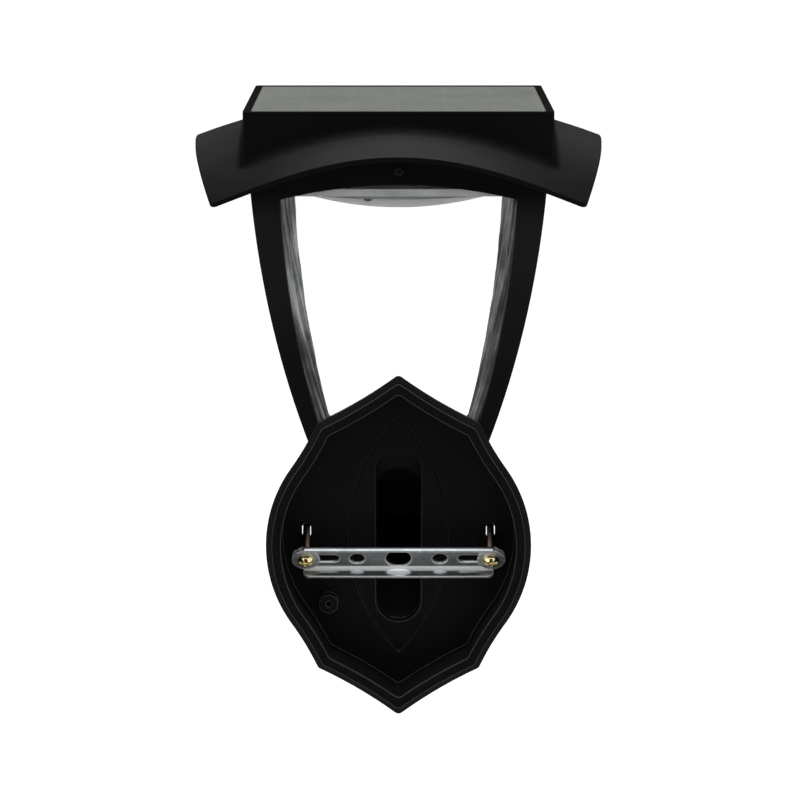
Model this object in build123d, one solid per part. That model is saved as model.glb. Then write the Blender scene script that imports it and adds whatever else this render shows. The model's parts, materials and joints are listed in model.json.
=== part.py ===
from build123d import *

import os
from math import cos, hypot, radians, sin, sqrt, tan

# A solar wall light, in millimetres. The wall is the plane Y = 0, the light
# stands out towards -Y, and the origin is the middle of the canopy's rear rim.

# Wall canopy: a shield with pointed ends
CANOPY_APEX = 92.7            # middle to each pointed end
CANOPY_SHOULDER_X = 43.0      # corner between belly and pointed end
CANOPY_SHOULDER_Z = 66.5
BAR_TO_BELLY = 13.5           # end of the crossbar to the widest place
CANOPY_BELLY_R = 73.0
BELLY_END_Z = 41.6            # where the belly arc ends
FLANK_HOLLOW = 0.8            # how far the flanks bow inwards
APEX_HOLLOW = 1.5
CANOPY_CORNER_R = 3.0         # rounding of the points and shoulders
CANOPY_POCKET = 30.0          # wall plane to the floor inside
CANOPY_FLOOR = 3.5
CANOPY_DRAFT = 8.0            # degrees
RIM_BEVEL = 3.2
RIM_BEVEL_DEPTH = 2.0
RIM_FACE = 4.8
GASKET_T = 1.2
FRONT_ROUND = 2.0
BOSS_X = 37.7
BOSS_Z = -36.5
BOSS_R = 5.0
BOSS_HEIGHT = 7.0
BOSS_HOLE_R = 1.6
BOSS_HOLE_DEPTH = 6.0

# Bracket arm
OGIVE_HALF_H = 64.0           # pointed root, set into the canopy floor
OGIVE_HALF_W = 26.0
OGIVE_FLANGE = 3.0            # collar round the root, in front of the canopy
OGIVE_FLANGE_T = 4.0
ROOT_CHAMFER = 0.3
ROOT_STEP = 0.4               # root behind the canopy floor
ROOT_FRAME = 0.8              # bevel of the floor round the root
ROOT_GAP = 0.15
SLOT_W = 24.7                 # hollow of the arm
SLOT_H = 96.0
SLOT_RAMP_H = 12.0            # sloping top end of the slot's mouth
SLOT_RAMP_DEPTH = 7.0
ARM_ROOT_HALF_H = 56.0
ARM_WAIST_HALF_W = 16.0
ARM_WAIST_AT = 50.0           # canopy front to the waist
ARM_WALL = 4.0
ARM_HOLLOW_LENGTH = 72.0
ARM_TIP_HEIGHT = 22.0
ARM_EDGE_ROUND = 3.0
ARM_PAD_R = 20.0
ARM_LOW_BEND_AT = 37.3        # canopy front to the middle of the lower curve
ARM_LOW_BEND = 0.34           # share of its fall there
ARM_TOP_BEND = 0.36           # share of the upper curve's run at its middle
ARM_TOP_FALL = 0.34           # share of its height left there
ARM_FLARE_AT = 21.0           # canopy front to the middle of the flare
ARM_FLARE = 3.0               # half width added to the waist there

# Lantern: square in plan, sides drawn as one large arc
REACH = 150.0                 # wall to the lantern's axis
LANTERN_HALF = 82.35          # half width where the side arc turns upright
BOX_TO_CURVE = 7.0            # top of the box up to that place
POST_R = 610.0                # radius of the side arc
FRAME_WALL = 4.0
POST_LEG_FOOT = 7.9           # width of a post beside the window's foot and top
POST_LEG_TOP = 15.6
FOOT_Z = 25.0                 # underside of the frame
FOOT_T = 5.0                  # floor flange that the panes stand on
FOOT_FLANGE = 14.0
SILL_H = 3.0
SILL_T = 2.0
WINDOW_SILL = 8.0             # foot to the window's lower edge
BOX_TO_WINDOW = 48.0          # top of the box down to the window arch at the posts
RAIL_ARCH_RISE = 8.0
WINDOW_TOP_ROUND = 2.0
WINDOW_FOOT_ROUND = 3.0
PANE_T = 2.5
PANE_GAP = 0.2
PANE_CORNER_GAP = 0.5
PANE_CUT = 40.0               # how far the panes' cutters pass the lantern's sides
PANE_OVERLAP = 3.0            # pane edge above the arch
CLIP_W = 9.0
CLIP_T = 0.8
CLIP_SEAT = 5.0
CLIP_TONGUE = 4.0

# Lantern base and its fixing
BASE_H = 10.0
BASE_OVERHANG = 2.0
BASE_ROUND = 6.0
FOOT_SCREW_INSET = 9.5        # side of the frame's foot to the screw axes
FOOT_SCREW_R = 2.0
FOOT_SCREW_BITE = 4.0
BOLT_R = 4.0
BOLT_AF = 13.0
BOLT_HEAD_H = 5.3
BASE_WASHER_R = 9.0
BASE_WASHER_T = 1.6
FINIAL_R = 11.0
FINIAL_NECK_R = 6.6
FINIAL_H = 30.0
FINIAL_TIP_R = 4.0
FINIAL_COLLAR_H = 3.6
FINIAL_NECK_AT = 6.6          # top to the neck
FINIAL_BELLY_AT = 15.0
FINIAL_BELLY_R = 10.4
BOLT_IN_FINIAL = 10.0

# Roof with its panel box
PANEL_TOP = 225.0             # top of the box, and crown of the roof's curve
ROOF_HALF = 114.0             # axis to the middle of an eave
ROOF_CORNER = 100.4           # axis to a corner, along X and along Y
EAVE_DROP = 21.3              # crown to the middle of an eave
CORNER_DROP = 49.4            # crown to a corner
ROOF_T = 2.6
ROOF_CORNER_R = 6.0           # rounding of the corners in plan
BOX_HALF = 84.0
BOX_CORNER_R = 2.5
BOX_WALL = 4.0
BOX_BLEND = 7.0
ROOF_TRIM = 5.7               # cut away round the eaves
PANEL_RIM = 3.9
DECK_DEPTH = 3.5              # box top to the deck under the panel
DECK_T = 4.0
SEAL_T = 0.8
SEAL_W = 6.0
PANEL_T = 2.3
PANEL_GAP = 0.3
ROOF_SEAT_GAP = 0.3
LEAD_HOLE_R = 3.0

# Rail screws and the notched lugs that they clamp
BOX_TO_RAIL_SCREW = 32.0
RAIL_SCREW_R = 1.5
RAIL_HEAD_R = 2.9
RAIL_HEAD_H = 2.0
RAIL_TIP_GAP = 0.9            # screw tip to the side of the ceiling plate
LUG_W = 16.0
LUG_T = 4.6
LUG_GAP = 0.6

# Light engine under the roof
BOX_TO_PLATE = 47.0           # top of the box to the underside of the ceiling plate
PLATE_T = 4.0
PLATE_HALF = 72.0
PLATE_CORNER_R = 4.0
PLATE_POST_AT = 63.0
PLATE_POST_R = 4.0
PLATE_SCREW_R = 1.5
PLATE_SCREW_BITE = 10.0
SMALL_HEAD_R = 2.8
SMALL_HEAD_H = 1.8
TIP_GAP = 1.0                 # end of a small screw to the end of its way
DOME_RIM_R = 72.0
DOME_FLANGE = 6.0
DOME_FLANGE_T = 1.6
DOME_DEPTH = 13.4
DOME_T = 2.0
DOME_SCREW_ANGLE = 76.0
DOME_SCREW_COUNT = 3
DOME_SCREW_R = 1.25
DOME_HEAD_R = 2.3
DOME_HEAD_H = 1.5
LED_BOARD_R = 48.0
LED_BOARD_T = 1.6
LED_RING_R = 34.0
LED_COUNT = 8
LED_SIDE = 3.5
LED_T = 1.4
CELL_R = 9.1
CELL_L = 65.0
CELL_GAP = 0.3
CELL_EDGE = 0.75
HOLDER_WALL = 2.0
HOLDER_H = 12.0
HOLDER_AT = 24.0              # axis to the holder's middle, towards the front
BOARD_L = 56.0
BOARD_W = 34.0
BOARD_T = 1.6
BOARD_AT = 30.0               # axis to the board's middle, towards the wall
CHIP_SIDE = 9.3
CHIP_H = 2.4
COIL_R = 4.2
SOCKET_L = 11.2
SOCKET_W = 8.5
SOCKET_H = 4.8
BOARD_PART_STEP = 18.7        # between the parts on the board
SPACER_R = 2.5
SPACER_H = 4.0
SPACER_INSET = 4.0
LEAD_R = 1.2
LEAD_BEND_R = 8.0
SWITCH_X = 48.0
SWITCH_Y = 60.0               # axis to the switch, towards the front
SWITCH_L = 15.0
SWITCH_W = 7.0
SWITCH_H = 7.0
KNOB_L = 4.0
KNOB_W = 3.0
KNOB_BELOW = 4.0              # knob tip below the ceiling plate
KNOB_HEAD_H = 2.0
KNOB_TRAVEL = 4.0
KNOB_GAP = 0.3
KNOB_ROUND = 0.5

# Crossbar, drawn square to the wall and then hung down by its droop
DROOP = 37.0                  # degrees
BAR_PIVOT_Z = 2.5
BAR_STANDOFF = 20.0           # pivot to the wall side of the web
BAR_LENGTH = 114.0
BAR_TAB = 6.0                 # flat end of the web past the flanges
BAR_HEIGHT = 18.7
BAR_TOP_FLANGE = 2.5
BAR_LOW_FLANGE = 5.8
BAR_BEND_R = 0.7              # inside of the bends
BAR_FLANGE_ROUND = 3.0
BAR_T = 1.3
BAR_END_ROUND = 8.0
BAR_CENTRE_HOLE_R = 6.9
BAR_SIDE_HOLE_R = 4.1
BAR_SIDE_HOLE_TO_SLOT = 9.5   # side hole's middle to the slot's inner end
BAR_SLOT_W = 6.0
BAR_SLOT_L = 21.4
BAR_SLOT_PAST_SCREW = 3.4
BAR_END_TO_SCREW = 7.4
BAR_SCREW_R = 2.0
BAR_HEAD_R = 4.25
BAR_HEAD_H = 2.6
CROSS_W = 1.1
CROSS_L = 4.6
CROSS_DEPTH = 1.4
HEAD_ROUND = 0.55             # share of a head's height that is rounded
BAR_WASHER_R = 7.5
BAR_WASHER_T = 1.0
BAR_NUT_AF = 7.0
BAR_NUT_H = 3.2
THREAD_GAP = 0.05
CAP_NUT_AT = 6.8              # pivot to the cap nut's face
CAP_NUT_R = 5.0
CAP_NUT_H = 9.0
CAP_NUT_BORE = 6.0
SWING_GAP = 0.4

# Places worked out from the sizes above
CANOPY_FRONT = CANOPY_POCKET + CANOPY_FLOOR
CANOPY_BELLY = BAR_LENGTH / 2 + BAR_TO_BELLY
CURVE_LEVEL = PANEL_TOP + BOX_TO_CURVE
RAIL_SIDE_Z = PANEL_TOP - BOX_TO_WINDOW
RAIL_SCREW_Z = PANEL_TOP - BOX_TO_RAIL_SCREW
PLATE_Z = PANEL_TOP - BOX_TO_PLATE
BASE_Z = FOOT_Z - BASE_H
DECK_Z = PANEL_TOP - DECK_DEPTH
DECK_UNDER = DECK_Z - DECK_T
PLATE_TOP = PLATE_Z + PLATE_T
RAIL_ARCH_Z = RAIL_SIDE_Z + RAIL_ARCH_RISE
PANE_FOOT = FOOT_Z + FOOT_T
PANE_TOP = RAIL_ARCH_Z + PANE_OVERLAP
PIVOT_Y = -(CANOPY_POCKET + CANOPY_FLOOR / 2)
BAR_SCREW_AT = BAR_LENGTH / 2 - BAR_END_TO_SCREW
BAR_SLOT_MID = BAR_SCREW_AT + BAR_SLOT_PAST_SCREW - BAR_SLOT_L / 2
BAR_SIDE_HOLE_AT = BAR_SLOT_MID - BAR_SLOT_L / 2 - BAR_SIDE_HOLE_TO_SLOT
FAR = 2 * (PANEL_TOP + REACH)    # longer than any piece


def arc_face(points, plane):
    """A face from corner points; a pair in the list is (middle, end) of an arc."""
    start = points[0]
    here = start
    edges = []
    for step in points[1:] + [start]:
        if isinstance(step[0], tuple):
            edges.append(ThreePointArc(here, step[0], step[1]))
            here = step[1]
        elif step != here:
            edges.append(Line(here, step))
            here = step
    return plane * make_face(edges)


def half_width(z, inset=0.0):
    """Half width of the lantern at a level, inset from its outer side."""
    return LANTERN_HALF - POST_R + sqrt((POST_R - inset) ** 2 - (CURVE_LEVEL - z) ** 2)


def on_axis(shape):
    """Move a shape drawn about the origin to the lantern's axis."""
    return Pos(0, -REACH, 0) * shape


def side_profile(inset, low, high):
    """Upright section of the lantern between two levels."""
    middle = (low + high) / 2
    w_low, w_mid, w_high = (half_width(z, inset) for z in (low, middle, high))
    return arc_face(
        [
            (-w_low, low),
            (w_low, low),
            ((w_mid, middle), (w_high, high)),
            (-w_high, high),
            ((-w_mid, middle), (-w_low, low)),
        ],
        Plane.XZ,
    )


def crossed(inset, low, high, cross_inset=None):
    """Square tapering block: the side profile run along Y and along X."""
    if cross_inset is None:
        cross_inset = inset
    along_y = extrude(side_profile(inset, low, high), amount=FAR, both=True)
    along_x = Rot(0, 0, 90) * extrude(side_profile(cross_inset, low, high), amount=FAR, both=True)
    return along_y & along_x


def runs_along(edge, axis):
    """Whether an edge runs more along an axis than across it."""
    return abs(edge.tangent_at(0.5).dot(axis.direction)) > sqrt(0.5)


def pan_screw(head_r, head_h, shank_r, length):
    """Pan-head screw standing on z = 0 with its shank below."""
    head = Pos(0, 0, head_h / 2) * Cylinder(head_r, head_h)
    head = fillet(head.edges().group_by(Axis.Z)[-1], head_h * HEAD_ROUND)
    cross = Box(CROSS_W, CROSS_L, CROSS_DEPTH) + Box(CROSS_L, CROSS_W, CROSS_DEPTH)
    cross = scale(cross, by=head_r / BAR_HEAD_R)
    depth = CROSS_DEPTH * head_r / BAR_HEAD_R
    shank = Pos(0, 0, -length / 2) * Cylinder(shank_r, length)
    return head - Pos(0, 0, head_h - depth / 2) * cross + shank


# Wall canopy
def circle_through(a, b, c):
    """Centre and radius of the circle through three points."""
    (ax, ay), (bx, by), (cx, cy) = a, b, c
    d = 2 * (ax * (by - cy) + bx * (cy - ay) + cx * (ay - by))
    sa, sb, sc = ax**2 + ay**2, bx**2 + by**2, cx**2 + cy**2
    x = (sa * (by - cy) + sb * (cy - ay) + sc * (ay - by)) / d
    y = (sa * (cx - bx) + sb * (ax - cx) + sc * (bx - ax)) / d
    return (x, y), hypot(ax - x, ay - y)


def circles_meet(first, second, near):
    """Crossing of two circles that lies nearer to a point."""
    (x1, y1), r1 = first
    (x2, y2), r2 = second
    gap = hypot(x2 - x1, y2 - y1)
    along = (gap**2 + r1**2 - r2**2) / (2 * gap)
    aside = sqrt(r1**2 - along**2)
    ux, uy = (x2 - x1) / gap, (y2 - y1) / gap
    places = [(x1 + along * ux - s * aside * uy, y1 + along * uy + s * aside * ux) for s in (-1, 1)]
    return min(places, key=lambda at: hypot(at[0] - near[0], at[1] - near[1]))


def arc_middle(circle, a, b):
    """Middle of the shorter arc between two points of a circle."""
    (x, y), r = circle
    mx, my = (a[0] + b[0]) / 2 - x, (a[1] + b[1]) / 2 - y
    return (x + mx * r / hypot(mx, my), y + my * r / hypot(mx, my))


def canopy_outline(inset, depth):
    """Shield outline, inset from its edge, at a depth in front of the wall."""
    belly_x = CANOPY_BELLY - CANOPY_BELLY_R
    apex = (0, CANOPY_APEX)
    shoulder = (CANOPY_SHOULDER_X, CANOPY_SHOULDER_Z)
    belly_end = (belly_x + sqrt(CANOPY_BELLY_R**2 - BELLY_END_Z**2), BELLY_END_Z)
    flank_mid = ((belly_end[0] + shoulder[0]) / 2 - FLANK_HOLLOW, (belly_end[1] + shoulder[1]) / 2)
    point_mid = (shoulder[0] / 2, (apex[1] + shoulder[1]) / 2 - APEX_HOLLOW)
    point, point_r = circle_through(apex, point_mid, shoulder)
    flank, flank_r = circle_through(shoulder, flank_mid, belly_end)
    point_arc = (point, point_r + inset)
    flank_arc = (flank, flank_r + inset)
    belly_arc = ((belly_x, 0), CANOPY_BELLY_R - inset)

    apex = (0, point[1] - sqrt(point_arc[1] ** 2 - point[0] ** 2))
    shoulder = circles_meet(point_arc, flank_arc, shoulder)
    belly_end = circles_meet(flank_arc, belly_arc, belly_end)
    point_mid = arc_middle(point_arc, apex, shoulder)
    flank_mid = arc_middle(flank_arc, shoulder, belly_end)

    def flip(at, sx, sz):
        return (sx * at[0], sz * at[1])

    points = [apex]
    for sx, sz in ((1, 1), (1, -1), (-1, -1), (-1, 1)):
        down = [(point_mid, shoulder), (flank_mid, belly_end)]
        up = [(flank_mid, shoulder), (point_mid, apex)]
        for middle, end in down if sx * sz > 0 else up:
            points.append((flip(middle, sx, sz), flip(end, sx, sz)))
        if sx * sz > 0:
            side = (sx * (CANOPY_BELLY - inset), 0)
            points.append((side, flip(belly_end, sx, -sz)))
    face = arc_face(points, Plane.XY)
    points = face.vertices().group_by(Axis.Y)
    corners = points[0] + points[1] + points[-2] + points[-1]
    return Plane.XZ.offset(depth) * fillet(corners, CANOPY_CORNER_R)


def ogive(grow, depth):
    """Pointed outline of the arm's root."""
    w = OGIVE_HALF_W + grow
    h = OGIVE_HALF_H + grow
    return arc_face([(0, h), ((w, 0), (0, -h)), ((-w, 0), (0, h))], Plane.XZ.offset(depth))


def wall_canopy():
    rim_at = GASKET_T
    bevel_at = rim_at + RIM_BEVEL_DEPTH
    taper = (CANOPY_FRONT - bevel_at) * tan(radians(CANOPY_DRAFT))
    rim = loft([canopy_outline(RIM_BEVEL, rim_at), canopy_outline(0, bevel_at)], ruled=True)
    body = loft([canopy_outline(0, bevel_at), canopy_outline(taper, CANOPY_FRONT)], ruled=True)
    pocket = extrude(canopy_outline(RIM_BEVEL + RIM_FACE, 0), amount=CANOPY_POCKET)
    boss_at = Pos(BOSS_X, -CANOPY_POCKET + BOSS_HEIGHT / 2, BOSS_Z) * Rot(90, 0, 0)
    hole_at = Pos(BOSS_X, -CANOPY_POCKET + BOSS_HEIGHT - BOSS_HOLE_DEPTH / 2, BOSS_Z) * Rot(90, 0, 0)
    canopy = rim + body - pocket
    front = canopy.faces().sort_by(Axis.Y)[0]
    canopy = fillet(front.edges(), FRONT_ROUND)
    canopy += boss_at * Cylinder(BOSS_R, BOSS_HEIGHT)
    canopy -= hole_at * Cylinder(BOSS_HOLE_R, BOSS_HOLE_DEPTH)
    canopy -= extrude(ogive(ROOT_GAP, 0), amount=FAR)
    frame_top = ogive(ROOT_GAP + ROOT_FRAME, CANOPY_POCKET)
    canopy -= loft([frame_top, ogive(ROOT_GAP, CANOPY_POCKET + ROOT_FRAME)], ruled=True)
    for side in (-1, 1):
        hole = Rot(0, 0, 90) * SlotOverall(swing_hole_height(), 2 * hole_half_width())
        canopy -= extrude(Plane.XZ * Pos(side * BAR_SCREW_AT, BAR_PIVOT_Z) * hole, amount=FAR)
    return canopy


def hole_half_width():
    return BAR_SCREW_R + SWING_GAP


def swing_hole_height():
    """Height of the floor holes that lets the hanging screws swing."""
    tilt = radians(DROOP)
    return 2 * (BAR_SCREW_R / cos(tilt) + CANOPY_FLOOR / 2 * tan(tilt) + SWING_GAP)


def canopy_gasket():
    ring = canopy_outline(RIM_BEVEL, 0) - canopy_outline(RIM_BEVEL + RIM_FACE, 0)
    return extrude(ring, amount=GASKET_T)


# Bracket arm
def arm_side(inset):
    """Side view of the arm: hollow upper and lower edges, drawn in the YZ plane."""
    root_y = -CANOPY_FRONT
    tip_y = -REACH
    top_root = ARM_ROOT_HALF_H - inset
    top_tip = BASE_Z - inset
    low_tip = BASE_Z - ARM_TIP_HEIGHT + inset
    flat_y = -(REACH - half_width(FOOT_Z) - 2 * BASE_OVERHANG)
    low_bend_y = root_y - ARM_LOW_BEND_AT
    top_bend_y = root_y + (flat_y - root_y) * ARM_TOP_BEND
    top_bend = top_tip + (top_root - top_tip) * ARM_TOP_FALL
    low_bend = low_tip - (top_root + low_tip) * ARM_LOW_BEND
    return arc_face(
        [
            (root_y, -top_root),
            (root_y, top_root),
            ((top_bend_y, top_bend), (flat_y, top_tip)),
            (tip_y, top_tip),
            (tip_y, low_tip),
            ((low_bend_y, low_bend), (root_y, -top_root)),
        ],
        Plane.YZ,
    )


def arm_plan():
    """Plan view of the arm: flares from the waist to the root."""
    root_y = -CANOPY_FRONT
    waist_y = root_y - ARM_WAIST_AT
    bend = (ARM_WAIST_HALF_W + ARM_FLARE, root_y - ARM_FLARE_AT)
    return arc_face(
        [
            (-OGIVE_HALF_W, root_y),
            (OGIVE_HALF_W, root_y),
            (bend, (ARM_WAIST_HALF_W, waist_y)),
            (ARM_WAIST_HALF_W, -REACH),
            (-ARM_WAIST_HALF_W, -REACH),
            (-ARM_WAIST_HALF_W, waist_y),
            ((-bend[0], bend[1]), (-OGIVE_HALF_W, root_y)),
        ],
        Plane.XY,
    )


def bracket_arm():
    beam = extrude(arm_side(0), amount=FAR, both=True) & extrude(arm_plan(), amount=FAR, both=True)
    long_edges = [e for e in beam.edges() if runs_along(e, Axis.Y)]
    beam = fillet(long_edges, ARM_EDGE_ROUND)
    pad = on_axis(Pos(0, 0, BASE_Z - ARM_TIP_HEIGHT / 2) * Cylinder(ARM_PAD_R, ARM_TIP_HEIGHT))
    root = extrude(ogive(0, CANOPY_POCKET + ROOT_STEP), amount=CANOPY_FLOOR - ROOT_STEP)
    root = chamfer(root.faces().sort_by(Axis.Y)[-1].edges(), ROOT_CHAMFER)
    collar = extrude(ogive(OGIVE_FLANGE, CANOPY_FRONT), amount=OGIVE_FLANGE_T)
    hollow_end = CANOPY_FRONT + ARM_HOLLOW_LENGTH
    upright = Plane.XZ * Rot(0, 0, 90)
    slot = upright * SlotOverall(SLOT_H, SLOT_W)
    low_slot = upright * Pos(-SLOT_RAMP_H / 2, 0) * SlotOverall(SLOT_H - SLOT_RAMP_H, SLOT_W)
    ramp_at = CANOPY_POCKET + ROOT_STEP
    ramp_ends = [Pos(0, -ramp_at, 0) * slot, Pos(0, -ramp_at - SLOT_RAMP_DEPTH, 0) * low_slot]
    mouth = extrude(low_slot, amount=CANOPY_FRONT + OGIVE_FLANGE_T) + loft(ramp_ends, ruled=True)
    core = extrude(low_slot, amount=hollow_end) & extrude(arm_side(ARM_WALL), amount=FAR, both=True)
    hole = on_axis(Cylinder(BOLT_R + SWING_GAP, FAR))
    return beam + pad + root + collar - mouth - core - hole


# Lantern base
def lantern_base():
    half = half_width(FOOT_Z) + BASE_OVERHANG
    base = Pos(0, 0, FOOT_Z - BASE_H / 2) * Box(2 * half, 2 * half, BASE_H)
    base = fillet(base.edges().filter_by(Axis.Z), BASE_OVERHANG)
    base = fillet(base.faces().sort_by(Axis.Z)[0].edges(), BASE_ROUND)
    base -= Cylinder(BOLT_R + SWING_GAP, FAR)
    for at in foot_screw_places():
        base -= at * Cylinder(FOOT_SCREW_R + THREAD_GAP, FAR)
        recess = 2 * (BASE_H - FOOT_SCREW_BITE)
        base -= at * Pos(0, 0, BASE_Z) * Cylinder(SMALL_HEAD_R + SWING_GAP, recess)
    return on_axis(base)


def foot_screw_places():
    at = half_width(FOOT_Z) - FOOT_SCREW_INSET
    return [Pos(x * at, y * at, 0) for x in (-1, 1) for y in (-1, 1)]


def foot_screws():
    """Screws up through the base into the foot of the frame."""
    head_z = FOOT_Z - FOOT_SCREW_BITE
    length = 2 * FOOT_SCREW_BITE
    screw = Rot(180, 0, 0) * pan_screw(SMALL_HEAD_R, SMALL_HEAD_H, FOOT_SCREW_R, length)
    return on_axis(Compound([at * Pos(0, 0, head_z) * screw for at in foot_screw_places()]))


def hexagon(across_flats):
    return RegularPolygon(across_flats / 2, 6, major_radius=False)


def base_washer():
    ring = Circle(BASE_WASHER_R) - Circle(BOLT_R + SWING_GAP)
    return on_axis(Pos(0, 0, FOOT_Z) * extrude(ring, BASE_WASHER_T))


def base_bolt():
    head_z = FOOT_Z + BASE_WASHER_T
    tip_z = BASE_Z - ARM_TIP_HEIGHT - BOLT_IN_FINIAL
    head = Pos(0, 0, head_z) * extrude(hexagon(BOLT_AF), BOLT_HEAD_H)
    shank = Pos(0, 0, tip_z) * extrude(Circle(BOLT_R), head_z - tip_z)
    return on_axis(head + shank)


def finial():
    """Turned drop under the arm that takes the end of the bolt."""
    top = BASE_Z - ARM_TIP_HEIGHT
    tip = top - FINIAL_H
    ball = tip + FINIAL_TIP_R
    knee = FINIAL_TIP_R * sin(radians(45))
    section = arc_face(
        [
            (0, top),
            (FINIAL_R, top),
            (FINIAL_R, top - FINIAL_COLLAR_H),
            (FINIAL_NECK_R, top - FINIAL_NECK_AT),
            ((FINIAL_BELLY_R, top - FINIAL_BELLY_AT), (FINIAL_TIP_R, ball)),
            ((knee, ball - knee), (0, tip)),
        ],
        Plane.XZ,
    )
    drop = revolve(section, Axis.Z)
    bore_depth = BOLT_IN_FINIAL + SWING_GAP
    bore = Pos(0, 0, top - bore_depth / 2) * Cylinder(BOLT_R + THREAD_GAP, bore_depth)
    return on_axis(drop - bore)


# Lantern frame and glass
def window():
    """Opening of one side, drawn in the XZ plane."""
    low = FOOT_Z + WINDOW_SILL
    middle = (low + RAIL_SIDE_Z) / 2
    w_low = half_width(low, POST_LEG_FOOT)
    w_mid = half_width(middle, (POST_LEG_FOOT + POST_LEG_TOP) / 2)
    w_high = half_width(RAIL_SIDE_Z, POST_LEG_TOP)
    face = arc_face(
        [
            (-w_low, low),
            (w_low, low),
            ((w_mid, middle), (w_high, RAIL_SIDE_Z)),
            ((0, RAIL_ARCH_Z), (-w_high, RAIL_SIDE_Z)),
            ((-w_mid, middle), (-w_low, low)),
        ],
        Plane.XY,
    )
    corners = face.vertices().sort_by(Axis.Y)
    face = fillet(corners[:2], WINDOW_FOOT_ROUND)
    face = fillet(face.vertices().sort_by(Axis.Y)[-2:], WINDOW_TOP_ROUND)
    return Plane.XZ * face


def roof_level(x, y):
    """Level of the roof's curve below which each quarter droops to its corner."""
    rise = EAVE_DROP / ROOF_HALF**2
    droop = (CORNER_DROP - 2 * rise * ROOF_CORNER**2) / ROOF_CORNER**4
    return PANEL_TOP - rise * (x**2 + y**2) - droop * x**2 * y**2


def roof_block(lower):
    """Solid under the roof's doubly curved face, lowered by a distance."""
    span = ROOF_HALF + ROOF_TRIM
    floor = BASE_Z
    sections = []
    for x in (-span, 0, span):
        eave = roof_level(x, span) - lower
        crown = roof_level(x, 0) - lower
        points = [(-span, floor), (span, floor), (span, eave), ((0, crown), (-span, eave))]
        sections.append(arc_face(points, Plane.YZ.offset(x)))
    return loft(sections)


def lantern_frame():
    top = PANEL_TOP
    frame = crossed(0, FOOT_Z, top) & roof_block(ROOF_T + ROOF_SEAT_GAP)
    frame -= crossed(FRAME_WALL, PANE_FOOT, top)
    opening = half_width(FOOT_Z) - FOOT_FLANGE
    frame -= Pos(0, 0, FOOT_Z) * Box(2 * opening, 2 * opening, 4 * FOOT_T)
    across = extrude(window(), amount=FAR, both=True)
    frame -= across
    frame -= Rot(0, 0, 90) * across
    sill_at = FRAME_WALL + 2 * PANE_GAP + PANE_T + PANE_GAP
    sill = crossed(sill_at, PANE_FOOT, PANE_FOOT + SILL_H)
    frame += sill - crossed(sill_at + SILL_T, PANE_FOOT, PANE_FOOT + SILL_H)
    for at in foot_screw_places():
        frame -= at * Pos(0, 0, FOOT_Z) * Cylinder(FOOT_SCREW_R + THREAD_GAP, 2 * FOOT_SCREW_BITE)
    for turn in (0, 180):
        at = Rot(0, 0, turn) * rail_screw_place()
        frame -= at * Cylinder(RAIL_SCREW_R + SWING_GAP, 2 * rail_screw_length())
        frame -= at * extrude(Circle(RAIL_HEAD_R + SWING_GAP), RAIL_HEAD_H)
    return on_axis(frame)


def glass_back_front(side):
    outer = FRAME_WALL + PANE_GAP
    pane = crossed(FRAME_WALL + PANE_CORNER_GAP, PANE_FOOT, PANE_TOP, outer)
    pane -= crossed(-PANE_CUT, PANE_FOOT, PANE_TOP, outer + PANE_T)
    half = Pos(0, side * FAR / 2, PANE_TOP / 2) * Box(FAR, FAR, FAR)
    return on_axis(pane & half)


def glass_side(side):
    outer = FRAME_WALL + PANE_GAP
    pane = crossed(outer, PANE_FOOT, PANE_TOP, outer + PANE_T + PANE_CORNER_GAP)
    pane -= crossed(outer + PANE_T, PANE_FOOT, PANE_TOP, -PANE_CUT)
    half = Pos(side * FAR / 2, 0, PANE_TOP / 2) * Box(FAR, FAR, FAR)
    return on_axis(pane & half)


def glass_clips():
    """Bent spring clips on the rails, one each side of every pane's middle."""
    seat_z = PANE_TOP + PANE_GAP
    wall = half_width(seat_z, FRAME_WALL)
    low = seat_z - CLIP_TONGUE
    tongue = half_width(low, FRAME_WALL + 2 * PANE_GAP + PANE_T)
    points = [
        (wall, seat_z),
        (wall, seat_z + CLIP_SEAT),
        (wall - CLIP_T, seat_z + CLIP_SEAT),
        (wall - CLIP_T, seat_z + CLIP_T),
        (tongue - CLIP_T, seat_z + CLIP_T),
        (tongue - CLIP_T, low),
        (tongue, low),
        (tongue, seat_z),
    ]
    clip = extrude(arc_face(points, Plane.XZ), amount=CLIP_W / 2, both=True)
    along = half_width(seat_z) / 2
    places = [Rot(0, 0, 90 * k) * Pos(0, s * along, 0) for k in range(4) for s in (-1, 1)]
    return on_axis(Compound([at * clip for at in places]))


# Roof
def box_prism(half, low, high):
    outline = RectangleRounded(2 * half, 2 * half, BOX_CORNER_R)
    return Pos(0, 0, low) * extrude(outline, high - low)


def roof_plan():
    corner = ROOF_CORNER
    mid = ROOF_HALF
    plan = arc_face(
        [
            (-corner, -corner),
            ((0, -mid), (corner, -corner)),
            ((mid, 0), (corner, corner)),
            ((0, mid), (-corner, corner)),
            ((-mid, 0), (-corner, -corner)),
        ],
        Plane.XY,
    )
    return fillet(plan.vertices(), ROOF_CORNER_R)


def rail_screw_place():
    """Axis of the back rail's screw, pointing out of the rail."""
    seat = half_width(RAIL_SCREW_Z - RAIL_HEAD_R)
    return Pos(0, seat, RAIL_SCREW_Z) * Rot(-90, 0, 0)


def rail_screw_length():
    """Through the rail and its lug, short of the ceiling plate that lifts past."""
    return half_width(RAIL_SCREW_Z - RAIL_HEAD_R) - PLATE_HALF - RAIL_TIP_GAP


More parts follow.
